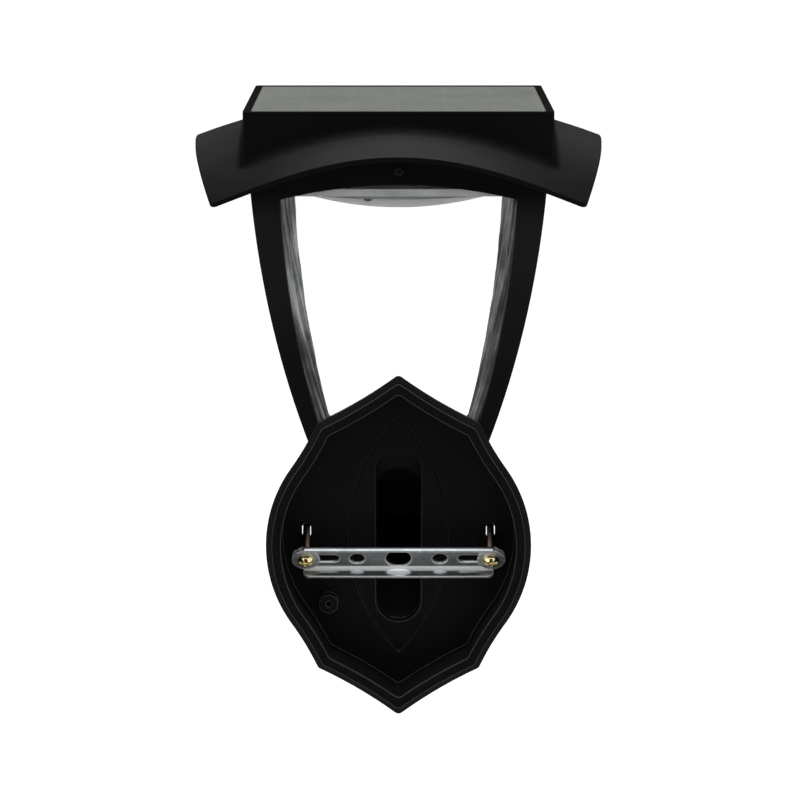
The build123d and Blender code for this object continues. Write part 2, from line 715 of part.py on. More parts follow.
def lug():
    """Tab under the deck with a notch, open below, for the rail screw."""
    low = PANE_TOP + LUG_GAP
    outer = half_width(low, FRAME_WALL) - LUG_GAP
    height = DECK_UNDER - low
    tab = Pos(0, outer - LUG_T / 2, low + height / 2) * Box(LUG_W, LUG_T, height)
    notch_r = RAIL_SCREW_R + SWING_GAP
    notch = Pos(0, outer - LUG_T / 2, RAIL_SCREW_Z) * Rot(90, 0, 0) * Cylinder(notch_r, 2 * LUG_T)
    open_h = RAIL_SCREW_Z - low
    notch += Pos(0, outer - LUG_T / 2, low) * Box(2 * notch_r, 2 * LUG_T, 2 * open_h)
    return tab - notch


def is_box_seam(edge):
    """Whether an edge lies where the box stands on the roof's curve."""
    at = edge.center()
    beside_box = max(abs(at.X), abs(at.Y)) < BOX_HALF + BOX_CORNER_R
    below_top = at.Z < PANEL_TOP - DECK_DEPTH
    above_foot = edge.bounding_box().min.Z > PANEL_TOP - CORNER_DROP + DECK_DEPTH
    return beside_box and below_top and above_foot and not runs_along(edge, Axis.Z)


def roof_shell():
    low = PANEL_TOP - 2 * CORNER_DROP
    under = roof_block(ROOF_T)
    dome = roof_block(0) & (Pos(0, 0, low) * extrude(roof_plan(), PANEL_TOP - low))
    shell = dome + box_prism(BOX_HALF, PANEL_TOP - CORNER_DROP, PANEL_TOP)
    shell = fillet([e for e in shell.edges() if is_box_seam(e)], BOX_BLEND)
    shell -= under
    shell -= box_prism(BOX_HALF - BOX_WALL, low, DECK_UNDER)
    shell -= box_prism(BOX_HALF - PANEL_RIM, DECK_Z, PANEL_TOP + DECK_T)
    shell += box_prism(BOX_HALF - BOX_WALL, DECK_UNDER, DECK_Z)
    for at in plate_post_places():
        shell += at * Pos(0, 0, PLATE_TOP) * extrude(Circle(PLATE_POST_R), DECK_UNDER - PLATE_TOP)
        shell -= at * Pos(0, 0, PLATE_TOP) * Cylinder(PLATE_SCREW_R + THREAD_GAP, 2 * PLATE_SCREW_BITE)
    for turn in (0, 180):
        shell += Rot(0, 0, turn) * lug()
    shell -= Pos(0, BOARD_AT, DECK_UNDER) * Cylinder(LEAD_HOLE_R, 4 * DECK_T)
    return on_axis(shell)


def panel_seal():
    half = BOX_HALF - PANEL_RIM - PANEL_GAP
    ring = RectangleRounded(2 * half, 2 * half, BOX_CORNER_R)
    ring -= Rectangle(2 * half - 2 * SEAL_W, 2 * half - 2 * SEAL_W)
    return on_axis(Pos(0, 0, DECK_Z) * extrude(ring, SEAL_T))


def solar_panel():
    half = BOX_HALF - PANEL_RIM - PANEL_GAP
    outline = RectangleRounded(2 * half, 2 * half, BOX_CORNER_R)
    return on_axis(Pos(0, 0, DECK_Z + SEAL_T) * extrude(outline, PANEL_T))


def rail_screws():
    screw = pan_screw(RAIL_HEAD_R, RAIL_HEAD_H, RAIL_SCREW_R, rail_screw_length())
    screw = rail_screw_place() * screw
    return on_axis(Compound([Rot(0, 0, turn) * screw for turn in (0, 180)]))


# Light engine
def plate_post_places():
    at = PLATE_POST_AT
    return [Pos(x * at, y * at, 0) for x in (-1, 1) for y in (-1, 1)]


def switch_place():
    return Pos(SWITCH_X, -SWITCH_Y, 0)


def ceiling_plate():
    plate = extrude(RectangleRounded(2 * PLATE_HALF, 2 * PLATE_HALF, PLATE_CORNER_R), PLATE_T)
    plate = Pos(0, 0, PLATE_Z) * plate
    for at in plate_post_places():
        plate -= at * Cylinder(PLATE_SCREW_R + THREAD_GAP, FAR)
    for at in dome_screw_places():
        plate -= at * Pos(0, 0, PLATE_Z) * Cylinder(DOME_SCREW_R + THREAD_GAP, 2 * (PLATE_T - TIP_GAP / 2))
    slot = Box(KNOB_TRAVEL + KNOB_L + 2 * KNOB_GAP, KNOB_W + 2 * KNOB_GAP, FAR)
    plate -= switch_place() * Pos(KNOB_TRAVEL / 2, 0, 0) * slot
    return on_axis(plate)


def plate_screws():
    length = PLATE_T + PLATE_SCREW_BITE - TIP_GAP
    screw = Rot(180, 0, 0) * pan_screw(SMALL_HEAD_R, SMALL_HEAD_H, PLATE_SCREW_R, length)
    return on_axis(Compound([at * Pos(0, 0, PLATE_Z) * screw for at in plate_post_places()]))


def dome_screw_places():
    r = DOME_RIM_R - DOME_FLANGE / 2
    angles = [DOME_SCREW_ANGLE + 360 * k / DOME_SCREW_COUNT for k in range(DOME_SCREW_COUNT)]
    return [Pos(r * cos(radians(a)), r * sin(radians(a)), 0) for a in angles]


def cap_rise(r, rim, depth):
    """Rise of a spherical cap at a radius, above its lowest point."""
    ball = (rim**2 + depth**2) / (2 * depth)
    return ball - sqrt(ball**2 - r**2)


def diffuser_dome():
    """Shallow spherical lens with a flat flange against the ceiling plate."""
    rim = DOME_RIM_R - DOME_FLANGE
    seat = PLATE_Z - DOME_FLANGE_T
    low = seat - DOME_DEPTH + DOME_FLANGE_T
    bend = rim / 2
    out_mid = low + cap_rise(bend, rim, seat - low)
    in_mid = low + DOME_T + cap_rise(bend, rim - DOME_T, PLATE_Z - low - DOME_T)
    section = arc_face(
        [
            (0, low),
            ((bend, out_mid), (rim, seat)),
            (DOME_RIM_R, seat),
            (DOME_RIM_R, PLATE_Z),
            (rim - DOME_T, PLATE_Z),
            ((bend, in_mid), (0, low + DOME_T)),
        ],
        Plane.XZ,
    )
    dome = revolve(section, Axis.Z)
    for at in dome_screw_places():
        dome -= at * Cylinder(DOME_SCREW_R + THREAD_GAP, FAR)
    return on_axis(dome)


def diffuser_screws():
    length = DOME_FLANGE_T + PLATE_T - TIP_GAP
    screw = Rot(180, 0, 0) * pan_screw(DOME_HEAD_R, DOME_HEAD_H, DOME_SCREW_R, length)
    seat = PLATE_Z - DOME_FLANGE_T
    return on_axis(Compound([at * Pos(0, 0, seat) * screw for at in dome_screw_places()]))


def led_board():
    return on_axis(Pos(0, 0, PLATE_Z - LED_BOARD_T) * extrude(Circle(LED_BOARD_R), LED_BOARD_T))


def leds():
    z = PLATE_Z - LED_BOARD_T - LED_T / 2
    led = Pos(LED_RING_R, 0, z) * Box(LED_SIDE, LED_SIDE, LED_T)
    return on_axis(Compound([Rot(0, 0, 360 * k / LED_COUNT) * led for k in range(LED_COUNT)]))


def cell_places():
    z = PLATE_TOP + HOLDER_WALL + CELL_GAP + CELL_R
    step = CELL_R + CELL_GAP + HOLDER_WALL / 2
    return [Pos(0, -HOLDER_AT + s * step, z) * Rot(0, 90, 0) for s in (-1, 1)]


def battery_holder():
    width = 4 * (CELL_R + CELL_GAP) + 3 * HOLDER_WALL
    bay = CELL_L + 2 * CELL_GAP
    length = bay + 2 * HOLDER_WALL
    tray = Pos(0, -HOLDER_AT, PLATE_TOP + HOLDER_H / 2) * Box(length, width, HOLDER_H)
    for at in cell_places():
        tray -= at * Cylinder(CELL_R + CELL_GAP, bay)
        tray -= at * Pos(-HOLDER_H, 0, 0) * Box(2 * HOLDER_H, 2 * (CELL_R + CELL_GAP), bay)
    return on_axis(tray)


def battery_cells():
    cell = Cylinder(CELL_R, CELL_L)
    cell = chamfer(cell.edges(), CELL_EDGE)
    return on_axis(Compound([at * Pos(CELL_GAP, 0, 0) * cell for at in cell_places()]))


def spacer_places():
    x = BOARD_L / 2 - SPACER_INSET
    y = BOARD_W / 2 - SPACER_INSET
    return [Pos(i * x, BOARD_AT + j * y, PLATE_TOP) for i in (-1, 1) for j in (-1, 1)]


def board_spacers():
    return on_axis(Compound([at * extrude(Circle(SPACER_R), SPACER_H) for at in spacer_places()]))


def control_board():
    z = PLATE_TOP + SPACER_H
    board = Pos(0, BOARD_AT, z) * extrude(Rectangle(BOARD_L, BOARD_W), BOARD_T)
    top = Pos(0, BOARD_AT, z + BOARD_T)
    board += top * extrude(Rectangle(CHIP_SIDE, CHIP_SIDE), CHIP_H)
    board += top * Pos(-BOARD_PART_STEP, 0, 0) * extrude(Circle(COIL_R), SOCKET_H)
    board += top * Pos(BOARD_PART_STEP, 0, 0) * extrude(Rectangle(SOCKET_L, SOCKET_W), SOCKET_H)
    return on_axis(board)


def panel_lead():
    """Wire from the back of the panel down to the socket on the board."""
    start = DECK_Z + SEAL_T
    end = PLATE_TOP + SPACER_H + BOARD_T + SOCKET_H
    middle = (start + end) / 2
    path = FilletPolyline(
        (0, BOARD_AT, start),
        (0, BOARD_AT, middle),
        (BOARD_PART_STEP, BOARD_AT, middle),
        (BOARD_PART_STEP, BOARD_AT, end),
        radius=min(LEAD_BEND_R, (start - middle) / 2, BOARD_PART_STEP / 2),
    )
    section = Plane((0, BOARD_AT, start), z_dir=(0, 0, -1)) * Circle(LEAD_R)
    return on_axis(sweep(section, path))


def switch_housing():
    z = PLATE_TOP + SWITCH_H / 2
    middle = switch_place() * Pos(KNOB_TRAVEL / 2, 0, z)
    cavity_l = KNOB_TRAVEL + KNOB_L + 2 * KNOB_HEAD_H + 2 * KNOB_GAP
    cavity_w = KNOB_W + 2 * KNOB_GAP
    cavity_h = KNOB_HEAD_H + 2 * KNOB_GAP
    housing = Box(SWITCH_L, SWITCH_W, SWITCH_H)
    cavity = Pos(0, 0, -SWITCH_H / 2 + cavity_h / 2) * Box(cavity_l, cavity_w, cavity_h)
    return on_axis(middle * (housing - cavity))


def switch_knob():
    """Slider with a wide head that stays above the plate."""
    stem_h = KNOB_BELOW + PLATE_T + KNOB_GAP
    stem = Pos(0, 0, PLATE_Z - KNOB_BELOW + stem_h / 2) * Box(KNOB_L, KNOB_W, stem_h)
    tip_edges = stem.faces().sort_by(Axis.Z)[0].edges()
    stem = fillet(tip_edges, KNOB_ROUND)
    head_l = KNOB_L + 2 * KNOB_HEAD_H
    head = Pos(0, 0, PLATE_TOP + KNOB_GAP + KNOB_HEAD_H / 2) * Box(head_l, KNOB_W, KNOB_HEAD_H)
    return on_axis(switch_place() * (stem + head))


# Crossbar, drawn with its screws along Y about the pivot, then hung
def hang(shape):
    return Pos(0, PIVOT_Y, BAR_PIVOT_Z) * Rot(-DROOP, 0, 0) * shape


def along_screws(shape):
    """Two copies of a shape drawn upright, heads towards the wall."""
    turned = Rot(-90, 0, 0) * shape
    return hang(Compound([Pos(side * BAR_SCREW_AT, 0, 0) * turned for side in (-1, 1)]))


def bar_section():
    """Channel with a short upper and a deep lower flange, open towards the wall."""
    outer = Pos(0, (BAR_LOW_FLANGE - BAR_T) / 2) * Rectangle(BAR_HEIGHT, BAR_LOW_FLANGE + BAR_T)
    outer = fillet(outer.vertices().group_by(Axis.Y)[0], BAR_BEND_R + BAR_T)
    inner = Pos(0, BAR_LOW_FLANGE) * Rectangle(BAR_HEIGHT - 2 * BAR_T, 2 * BAR_LOW_FLANGE)
    inner = fillet(inner.vertices().group_by(Axis.Y)[0], BAR_BEND_R)
    past_top = Rectangle(BAR_HEIGHT, BAR_LOW_FLANGE)
    past_top = Pos(-BAR_HEIGHT / 2, BAR_TOP_FLANGE + BAR_LOW_FLANGE / 2) * past_top
    return outer - inner - past_top


def crossbar():
    length = BAR_LENGTH - 2 * BAR_TAB
    channel = extrude(Plane.YZ * bar_section(), amount=length / 2, both=True)
    flange_ends = [e for e in channel.edges() if runs_along(e, Axis.Y)]
    channel = fillet(ShapeList(flange_ends).group_by(Axis.Z)[-1], BAR_FLANGE_ROUND)
    plate = fillet(Rectangle(BAR_LENGTH, BAR_HEIGHT).vertices(), BAR_END_ROUND)
    tabs = extrude(plate - Rectangle(length, BAR_HEIGHT), -BAR_T)
    holes = Circle(BAR_CENTRE_HOLE_R)
    for side in (-1, 1):
        holes += Pos(side * BAR_SIDE_HOLE_AT, 0) * Circle(BAR_SIDE_HOLE_R)
        holes += Pos(side * BAR_SLOT_MID, 0) * SlotOverall(BAR_SLOT_L, BAR_SLOT_W)
    bar = channel + tabs - extrude(holes, BAR_T, both=True)
    return hang(Pos(0, BAR_STANDOFF, 0) * Rot(-90, 0, 0) * bar)


def bar_washers():
    ring = Circle(BAR_WASHER_R) - Circle(BAR_SCREW_R + THREAD_GAP)
    return along_screws(Pos(0, 0, BAR_STANDOFF) * extrude(ring, BAR_WASHER_T))


def bar_screws():
    seat = BAR_STANDOFF + BAR_WASHER_T
    length = seat + CAP_NUT_AT + CAP_NUT_BORE - SWING_GAP
    return along_screws(Pos(0, 0, seat) * pan_screw(BAR_HEAD_R, BAR_HEAD_H, BAR_SCREW_R, length))


def bar_nuts():
    ring = hexagon(BAR_NUT_AF) - Circle(BAR_SCREW_R + THREAD_GAP)
    return along_screws(Pos(0, 0, BAR_STANDOFF - BAR_T - BAR_NUT_H) * extrude(ring, BAR_NUT_H))


def cap_nuts():
    """Domed nuts on the screw ends in front of the canopy."""
    skirt = CAP_NUT_H - CAP_NUT_R
    knee = CAP_NUT_R * sin(radians(45))
    section = arc_face(
        [
            (0, 0),
            (CAP_NUT_R, 0),
            (CAP_NUT_R, -skirt),
            ((knee, -skirt - knee), (0, -CAP_NUT_H)),
        ],
        Plane.XZ,
    )
    nut = revolve(section, Axis.Z)
    nut -= Pos(0, 0, -CAP_NUT_BORE / 2) * Cylinder(BAR_SCREW_R + THREAD_GAP, CAP_NUT_BORE)
    return along_screws(Pos(0, 0, -CAP_NUT_AT) * nut)


NODES = {
    "wall_canopy": wall_canopy,
    "canopy_gasket": canopy_gasket,
    "bracket_arm": bracket_arm,
    "lantern_base": lantern_base,
    "foot_screws": foot_screws,
    "base_washer": base_washer,
    "base_bolt": base_bolt,
    "finial": finial,
    "lantern_frame": lantern_frame,
    "glass_back": lambda: glass_back_front(1),
    "glass_front": lambda: glass_back_front(-1),
    "glass_left": lambda: glass_side(1),
    "glass_right": lambda: glass_side(-1),
    "glass_clips": glass_clips,
    "rail_screws": rail_screws,
    "roof_shell": roof_shell,
    "panel_seal": panel_seal,
    "solar_panel": solar_panel,
    "ceiling_plate": ceiling_plate,
    "plate_screws": plate_screws,
    "diffuser_dome": diffuser_dome,
    "diffuser_screws": diffuser_screws,
    "led_board": led_board,
    "leds": leds,
    "battery_holder": battery_holder,
    "battery_cells": battery_cells,
    "board_spacers": board_spacers,
    "control_board": control_board,
    "panel_lead": panel_lead,
    "switch_housing": switch_housing,
    "switch_knob": switch_knob,
    "crossbar": crossbar,
    "bar_washers": bar_washers,
    "bar_screws": bar_screws,
    "bar_nuts": bar_nuts,
    "cap_nuts": cap_nuts,
}

os.makedirs("parts", exist_ok=True)
for name, make in NODES.items():
    export_step(make(), f"parts/{name}.step")
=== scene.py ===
import json
import math

import bpy
from mathutils import Matrix, Vector


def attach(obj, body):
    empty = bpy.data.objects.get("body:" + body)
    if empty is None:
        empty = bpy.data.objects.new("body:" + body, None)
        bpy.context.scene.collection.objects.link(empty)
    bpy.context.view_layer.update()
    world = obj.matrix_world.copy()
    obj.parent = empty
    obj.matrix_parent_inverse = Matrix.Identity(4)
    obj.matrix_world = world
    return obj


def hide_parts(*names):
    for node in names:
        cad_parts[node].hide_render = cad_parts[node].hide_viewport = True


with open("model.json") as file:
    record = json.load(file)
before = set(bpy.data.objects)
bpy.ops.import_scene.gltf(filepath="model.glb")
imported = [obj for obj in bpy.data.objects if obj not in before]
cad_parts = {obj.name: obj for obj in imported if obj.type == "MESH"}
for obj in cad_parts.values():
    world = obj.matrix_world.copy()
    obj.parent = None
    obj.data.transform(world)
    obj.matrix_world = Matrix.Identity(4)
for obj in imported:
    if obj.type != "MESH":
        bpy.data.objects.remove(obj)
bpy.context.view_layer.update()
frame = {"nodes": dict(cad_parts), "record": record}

# A solar wall light seen from its wall side. Lengths are in metres, in the part's
# own frame: the wall is the plane Y = 0 and the light stands out towards -Y.
MM = 0.001
NODES = frame["nodes"]

# Photograph: square, with the camera pitched down and not rolled
IMAGE_PX = 800
FOCAL_PX = 3200.0
SENSOR_MM = 36.0
CAMERA_AT = Vector((0.0, 1.654, 0.3863))
CAMERA_PITCH = 10.5
CAMERA_SIGHT = 100.0
OBJECT_MIDDLE_PX = 398.5

# Lantern sizes that the borders of the panes follow
REACH = 150.0 * MM            # wall to the lantern's axis
LANTERN_HALF = 82.35 * MM     # half width where the side arc turns upright
CURVE_LEVEL = 232.0 * MM      # level of that place
POST_R = 610.0 * MM           # radius of the side arc
POST_LEG_FOOT = 7.9 * MM      # width of a post at the window's foot and top
POST_LEG_TOP = 15.6 * MM
WINDOW_LOW = 33.0 * MM
WINDOW_HIGH = 177.0 * MM

# Crossbar, hanging on its screws
DROOP = 37.0                  # degrees away from square with the wall
BAR_PIVOT = Vector((0.0, -31.75 * MM, 2.5 * MM))
BAR_SCREW_AT = 49.6 * MM      # middle of the bar to a screw
BAR_SEAT = 21.0 * MM          # pivot to the seat of a screw's head
BAR_BEND = (-20.6 * MM, -16.0 * MM)       # Y and Z of the lower bend, where a highlight is painted
BAR_HIGHLIGHT_TOP = -3.9 * MM      # painted highlights on the bar's cut edges only below this level

# Crossbar screws: pan heads with a cross recess and a rolled thread
HEAD_R = 4.25 * MM
HEAD_H = 2.6 * MM
HEAD_RINGS = 26
HEAD_SWEEP = math.radians(80)  # sets the rings closer towards the rim
CROWN_DROP = 0.62             # share of the height that the crown loses at the rim
CROWN_POWER = 3.2
CROSS_HALF_W = 1.05 * MM
CROSS_REACH = 3.4 * MM
CROSS_DEPTH = 1.7 * MM
CROSS_TAPER = 0.35            # share of its width that a wing loses outwards
CROSS_WALL = 0.18 * MM        # width of the sloping walls of a wing
CROSS_RUN_OUT = 0.9 * MM      # length over which a wing runs out
SHANK_R = 2.0 * MM
SHANK_L = 33.4 * MM
THREAD_PITCH = 0.7 * MM
THREAD_DEPTH = 0.35 * MM
RINGS_PER_PITCH = 6
AROUND = 72                   # points round a screw
TURN = 2 * math.pi / AROUND

# Finishes in general
WHITE = (1.0, 1.0, 1.0)
NOISE_LOW = 0.3               # usual range of a noise
NOISE_HIGH = 0.7
BEVEL_SAMPLES = 8
EDGE_TURN = [(0.03, 0.0), (0.25, 1.0)]    # share of wear and painted edge highlight by how far a rounded normal turns
COAT_TONES = (0.85, 1.15)
PLASTIC_TONES = (0.85, 1.12)
METAL_UNEVEN = (-0.05, 0.06)  # spread of the roughness
PLASTIC_UNEVEN = (-0.06, 0.08)
CASTING_EDGE = 0.8 * MM       # rounding of the edges
SCREW_EDGE = 0.3 * MM
BAR_EDGE = 1.3 * MM
FOAM_EDGE = 0.9 * MM
PLASTIC_EDGE = 0.25 * MM

# Painted shade, sheen and edge highlights of the black coats
LEVEL_SPAN = 250.0 * MM       # levels up to here have a place on a ramp
FRAME_PAINTED_SHADE = [               # painted shade on the frame by level, deepest under the eaves
    (65.0 * MM, 0.6),
    (118.0 * MM, 0.85),
    (150.0 * MM, 1.0),
    (166.0 * MM, 1.0),
    (181.0 * MM, 0.27),
]
ROOF_PAINTED_SHEEN = (                # painted sheen and shade on the roof by its larger and its smaller slope: level tops, upright walls and corners dark, the sloping band lit
    [(0.08, 0.15), (0.25, 1.0), (0.4, 1.0), (0.55, 0.55), (0.8, 0.13)],
    [(0.0, 1.0), (0.18, 0.9), (0.31, 0.68), (0.4, 0.4), (0.5, 0.26)],
)
CANOPY_HIGHLIGHT_FADE = (-10.0 * MM, 25.0 * MM)     # levels between which its lighter edges, wear and painted highlights, grow fainter going up
CANOPY_HIGHLIGHT_FADED = 0.35

# Plated steel
DRAWN_STEEL = (0.06, 1.0, 1.0)            # streaks run along X
BLOTCH_SHARE = 0.7
DRAWN_SHARE = 0.35
CRYSTAL_SHARE = 0.1
SPANGLE_RANGE = (0.2, 0.8)
# painted highlights on cut edges and on the bar's bend: a near-white matt colour
RIM_HIGHLIGHT_COLOUR = (0.95, 0.96, 0.96)
RIM_HIGHLIGHT_MATT = 0.95
BEND_HIGHLIGHT_EDGE = (1.4 * MM, 2.2 * MM)
THREAD_SHADOW_FADE = (-29.0 * MM, -21.0 * MM)    # Y of the end in painted shadow and of the lit end
THREAD_SHADOW_TONE = 0.12

# Glass, lens and solar cells
GLASS_CLEAR = (0.98, 0.985, 0.985)
GLASS_GREYS = [
    (0.52, (0.04, 0.041, 0.042)),
    (0.67, (0.14, 0.144, 0.148)),
    (0.78, (0.34, 0.35, 0.36)),
    (0.9, (0.85, 0.86, 0.87)),
]
GLASS_IOR = 1.2
DRAWN_GLASS = (1.0, 1.0, 0.4)             # waves are longer along Z
STREAK_SLOWED = 0.025                     # change of the streaks along the posts
PATCH_SHARE = 0.5
BORDER_EDGE = (0.3 * MM, 0.7 * MM)
BORDER_RAGGED = 2.0 * MM
BORDER_OPAQUE = 0.9
BORDER_ROUGH = 0.35
LENS_FLOW = (0.25, 1.0, 1.0)              # flow lines run along X
LENS_DARK = (0.14, 0.142, 0.144)
LENS_LIGHT = (0.22, 0.222, 0.224)
LENS_DEPTH = 4.0 * MM
FINGER_PITCH = 2.0 * MM
FINGER_EDGE = (0.04 * MM, 0.1 * MM)
FINGER_SHARE = 0.35
RIBBON_PITCH = 26.0 * MM
RIBBON_EDGE = (0.5 * MM, 0.9 * MM)
CELL_DARK = (0.204, 0.213, 0.196)
CELL_LIGHT = (0.218, 0.227, 0.21)
CELL_SILVER = (0.227, 0.236, 0.218)
CELL_RANGE = (0.2, 0.8)

# Studio
FLOOR_Z = -0.45
FLOOR_HALF = 14.0
FLOOR_GLOW = 0.6              # glow of the floor as it is seen
WORLD_FILL = 0.5              # strength of the white world as a light
FLAG_AT = 2.3                 # dark flag behind the camera
FLAG_HALF = 2.2
BACK_FLAG_HALF = 6.0          # and one beyond the light, for the sheen of the roof
BACK_FLAG_TOP = 3.0
OVERHEAD_AT = (0.0, -0.45, 1.9)
OVERHEAD_TARGET = (0.0, -0.15, 0.1)
OVERHEAD_SIZE = (0.7, 1.7)
OVERHEAD_POWER = 12.75
KEY_AT = (0.0, 0.47, 1.85)
KEY_TARGET = (0.0, -0.01, 0.0)
KEY_SIZE = (0.25, 0.25)
KEY_POWER = 10.5


# Colours
def grey(value):
    return (value, value, value)


def tones(base, shares):
    """A colour times each of the shares."""
    return [tuple(min(1.0, part * share) for part in base) for share in shares]


# Node helpers
def make_material(name):
    """A node material with its node tree and its shader."""
    material = bpy.data.materials.new(name)
    material.use_nodes = True
    tree = material.node_tree
    return material, tree, tree.nodes["Principled BSDF"]


def connect(tree, value, socket):
    """Give a socket a value, or a link from another socket."""
    if isinstance(value, bpy.types.NodeSocket):
        tree.links.new(value, socket)
    elif socket.type == "RGBA":
        socket.default_value = (*value, 1)
    else:
        socket.default_value = value


def wire(tree, node, **inputs):
    """Connect a node's inputs, named with underscores for spaces."""
    for label, value in inputs.items():
        connect(tree, value, node.inputs[label.replace("_", " ")])


def add(tree, kind, **inputs):
    """Add a node and connect its inputs."""
    made = tree.nodes.new(kind)
    wire(tree, made, **inputs)
    return made


def place(tree, stretch=(1.0, 1.0, 1.0)):
    """Object coordinates, stretched along the axes."""
    where = tree.nodes.new("ShaderNodeTexCoord").outputs["Object"]
    return add(tree, "ShaderNodeMapping", Vector=where, Scale=stretch).outputs["Vector"]


def coordinate(tree, vector, axis):
    return add(tree, "ShaderNodeSeparateXYZ", Vector=vector).outputs[axis]


def noise(tree, vector, scale, detail=3.0, rough=0.5):
    made = add(tree, "ShaderNodeTexNoise", Vector=vector, Scale=scale, Detail=detail, Roughness=rough)
    return made.outputs["Fac"]


def cells(tree, vector, scale, output):
    """Cells with a Color each, or with the Distance from their middles."""
    return add(tree, "ShaderNodeTexVoronoi", Vector=vector, Scale=scale).outputs[output]


def math_node(tree, operation, *values):
    made = tree.nodes.new("ShaderNodeMath")
    made.operation = operation
    for socket, value in zip(made.inputs, values):
        connect(tree, value, socket)
    return made.outputs["Value"]


def weighted(tree, first, first_share, second, second_share):
    """Sum of two values, each times its share."""
    pairs = ((first, first_share), (second, second_share))
    return math_node(tree, "ADD", *(math_node(tree, "MULTIPLY", *pair) for pair in pairs))


def scaled(tree, colour, factor):
    """A colour times a factor."""
    made = tree.nodes.new("ShaderNodeVectorMath")
    made.operation = "SCALE"
    wire(tree, made, Vector=colour, Scale=factor)
    return made.outputs["Vector"]


def mix_colour(tree, factor, first, second):
    made = tree.nodes.new("ShaderNodeMix")
    made.data_type = "RGBA"
    shown = [socket for socket in made.inputs if socket.enabled]
    for socket, value in zip(shown, (factor, first, second)):
        connect(tree, value, socket)
    return next(socket for socket in made.outputs if socket.enabled)


def ramp(tree, factor, stops):
    """Colour ramp from (place, colour) pairs; a colour may be one grey number."""
    made = add(tree, "ShaderNodeValToRGB", Fac=factor)
    elements = made.color_ramp.elements
    while len(elements) < len(stops):
        elements.new(0.5)
    for element, (at, colour) in zip(elements, stops):
        element.position = at
        element.color = (*colour, 1) if isinstance(colour, tuple) else (*grey(colour), 1)
    return made.outputs["Color"]


def spread(tree, factor, low, high):
    """Ramp from low to high over the usual range of a noise."""
    return ramp(tree, factor, [(NOISE_LOW, low), (NOISE_HIGH, high)])


def graded(tree, value, low, high, start=1.0, end=0.0):
    """start up to the value low, end from high on, and a straight grade between them."""
    way = math_node(tree, "DIVIDE", math_node(tree, "SUBTRACT", value, low), high - low)
    return ramp(tree, way, [(0.0, start), (1.0, end)])


def rounded_normal(tree, radius):
    made = add(tree, "ShaderNodeBevel", Radius=radius)
    made.samples = BEVEL_SAMPLES
    return made.outputs["Normal"]


def edge_mask(tree, normal):
    """Up to 1 on edges, where a rounded normal leaves the face's own, and 0 on open faces."""
    face = tree.nodes.new("ShaderNodeNewGeometry").outputs["Normal"]
    dot = tree.nodes.new("ShaderNodeVectorMath")
    dot.operation = "DOT_PRODUCT"
    for socket, value in zip(dot.inputs, (normal, face)):
        connect(tree, value, socket)
    return ramp(tree, math_node(tree, "SUBTRACT", 1.0, dot.outputs["Value"]), EDGE_TURN)


def slopes(tree):
    """Larger and smaller level part of the surface normal: 1 and 0 on walls, alike at corners."""
    normal = tree.nodes.new("ShaderNodeNewGeometry").outputs["Normal"]
    sides = [math_node(tree, "ABSOLUTE", coordinate(tree, normal, axis)) for axis in "XY"]
    return math_node(tree, "MAXIMUM", *sides), math_node(tree, "MINIMUM", *sides)


def bump(tree, height, strength, distance, normal=None):
    made = add(tree, "ShaderNodeBump", Height=height, Strength=strength, Distance=distance)
    if normal is not None:
        wire(tree, made, Normal=normal)
    return made.outputs["Normal"]


# Materials
def black_coat(
    name, base, wear_and_highlight, roughness, specular, edge_radius, painted_sheen_by_slope=None, painted_shade_by_level=None, painted_light_fade=None
):
    """Satin powder coat on a casting: fine orange peel, and edges lighter from wear and from painted
    highlights.

    painted_sheen_by_slope: ramps of painted sheen and shade by the larger and the smaller slope
    painted_shade_by_level: painted shade as tones by level
    painted_light_fade: levels between which the lighter edges, wear and painted highlights, grow
    fainter going up
    """
    material, tree, shader = make_material(name)
    at = place(tree)
    normal = rounded_normal(tree, edge_radius)
    body = spread(tree, noise(tree, at, scale=18.0, detail=4.0), *tones(base, COAT_TONES))
    # edges painted lighter: wear, and painted highlights where light catches them
    edge_wear_and_highlight = edge_mask(tree, normal)
    # painted highlights on the edges grow fainter going up, where light catches them less
    if painted_light_fade is not None:
        kept = graded(tree, coordinate(tree, at, "Z"), *painted_light_fade, end=CANOPY_HIGHLIGHT_FADED)
        edge_wear_and_highlight = math_node(tree, "MULTIPLY", edge_wear_and_highlight, kept)
    colour = mix_colour(tree, edge_wear_and_highlight, body, wear_and_highlight)
    # painted shade: darker by level, as under the eaves
    if painted_shade_by_level is not None:
        stops = [(level / LEVEL_SPAN, tone) for level, tone in painted_shade_by_level]
        way = math_node(tree, "DIVIDE", coordinate(tree, at, "Z"), LEVEL_SPAN)
        colour = scaled(tree, colour, ramp(tree, way, stops))
    # painted sheen and shade: the tone follows the slope, as light falls on it
    if painted_sheen_by_slope is not None:
        for slope, stops in zip(slopes(tree), painted_sheen_by_slope):
            colour = scaled(tree, colour, ramp(tree, slope, stops))
    patches = noise(tree, at, scale=60.0, detail=4.0)
    grain = noise(tree, at, scale=1400.0, detail=2.0)
    wire(
        tree,
        shader,
        Base_Color=colour,
        Roughness=spread(tree, patches, *(roughness + step for step in METAL_UNEVEN)),
        Specular_IOR_Level=specular,
        Normal=bump(tree, grain, strength=0.25, distance=0.15 * MM, normal=normal),
    )
    return material


